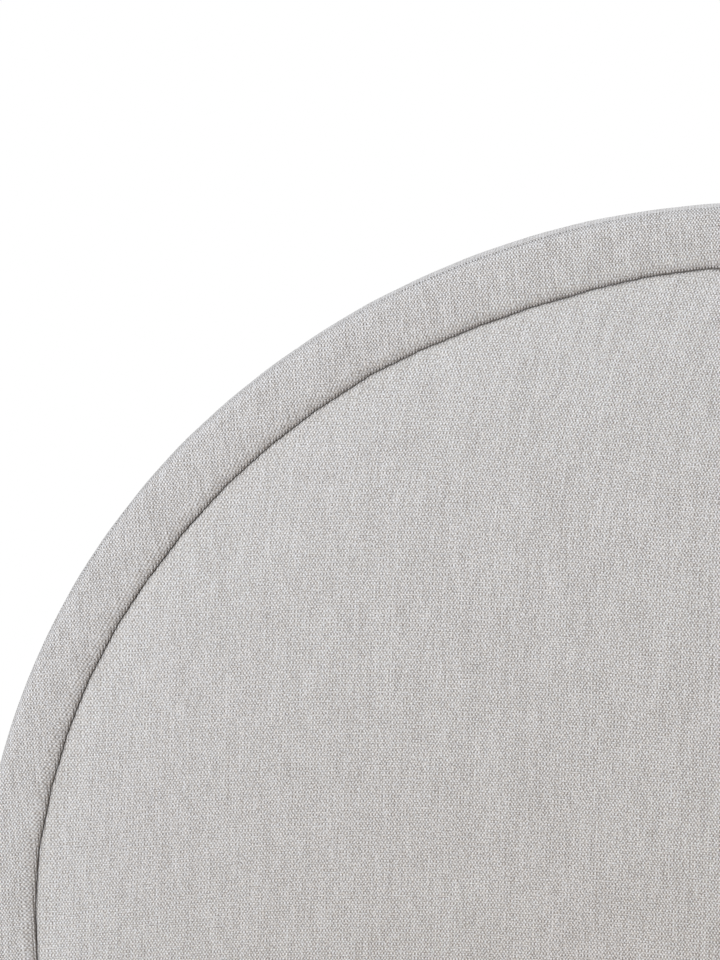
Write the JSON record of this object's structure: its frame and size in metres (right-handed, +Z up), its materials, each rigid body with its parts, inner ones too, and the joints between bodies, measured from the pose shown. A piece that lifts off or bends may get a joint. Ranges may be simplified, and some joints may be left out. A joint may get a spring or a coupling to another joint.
{
  "type": "double bed",
  "caption": "Double bed frame with an arched upholstered headboard, a padded border band round a crowned centre panel, upholstered rails, slats, centre beam and screw feet.",
  "frame": {"origin": "on the floor, under the middle of the bed's overall box", "axes": "X runs across the bed with left at -X as seen from the foot, Y runs from the foot end to the headboard, Z is up"},
  "size_m": [1.48, 2.06, 1.25],
  "materials": {
    "upholstery_fabric": "matt melange plain weave, warm pale grey",
    "foam": "open-cell foam, hidden",
    "dust_cloth": "black non-woven cloth",
    "webbing": "woven polyester tape",
    "pine": "planed, unfinished pine",
    "plywood": "unfinished plywood",
    "rail_board": "particle board",
    "leg_wood": "oiled oak, satin",
    "black_steel": "black powder coat",
    "zinc_steel": "bright zinc plate",
    "black_plastic": "moulded nylon"
  },
  "bodies": {
    "bed": {"arch_rib_crown": "plywood", "arch_rib_left": "plywood", "arch_rib_right": "plywood", "barrel_nuts": "zinc_steel", "beam_hanger_foot": "black_steel", "beam_hanger_head": "black_steel", "beam_screws": "zinc_steel", "border_cover": "upholstery_fabric", "border_pad": "foam", "centre_beam": "black_steel", "centre_leg_1": "black_steel", "centre_leg_2": "black_steel", "centre_pad": "upholstery_fabric", "centre_pad_board": "plywood", "corner_block_left": "pine", "corner_block_right": "pine", "corner_bolts": "zinc_steel", "dust_cloth": "dust_cloth", "foot_rail_board": "rail_board", "foot_rail_cover": "upholstery_fabric", "head_bolts": "zinc_steel", "headboard_bottom_rail": "pine", "headboard_centre_post": "pine", "headboard_front_board": "plywood", "headboard_middle_rail": "pine", "headboard_stile_left": "pine", "headboard_stile_right": "pine", "ledger_left": "pine", "ledger_right": "pine", "ledger_screws": "zinc_steel", "leg_foot_left": "leg_wood", "leg_foot_right": "leg_wood", "leg_glides": "black_plastic", "leg_head_left": "leg_wood", "leg_head_right": "leg_wood", "leg_inserts": "black_plastic", "leg_plates": "black_steel", "mount_block_left": "pine", "mount_block_right": "pine", "panel_screws": "zinc_steel", "side_rail_left_board": "rail_board", "side_rail_left_cover": "upholstery_fabric", "side_rail_right_board": "rail_board", "side_rail_right_cover": "upholstery_fabric", "slat_01": "pine", "slat_02": "pine", "slat_03": "pine", "slat_04": "pine", "slat_05": "pine", "slat_06": "pine", "slat_07": "pine", "slat_08": "pine", "slat_09": "pine", "slat_10": "pine", "slat_11": "pine", "slat_12": "pine", "slat_webbing": "webbing", "tee_nuts": "zinc_steel"},
    "screw_foot_1": {"levelling_foot_1": "black_plastic"},
    "screw_foot_2": {"levelling_foot_2": "black_plastic"}
  },
  "joints": [
    {"name": "foot_1_screw", "type": "slide", "parent": "bed", "child": "screw_foot_1", "axis": [0, 0, -1], "range_m": [-0.012, 0.02]},
    {"name": "foot_2_screw", "type": "slide", "parent": "bed", "child": "screw_foot_2", "axis": [0, 0, -1], "range_m": [-0.012, 0.02]}
  ]
}
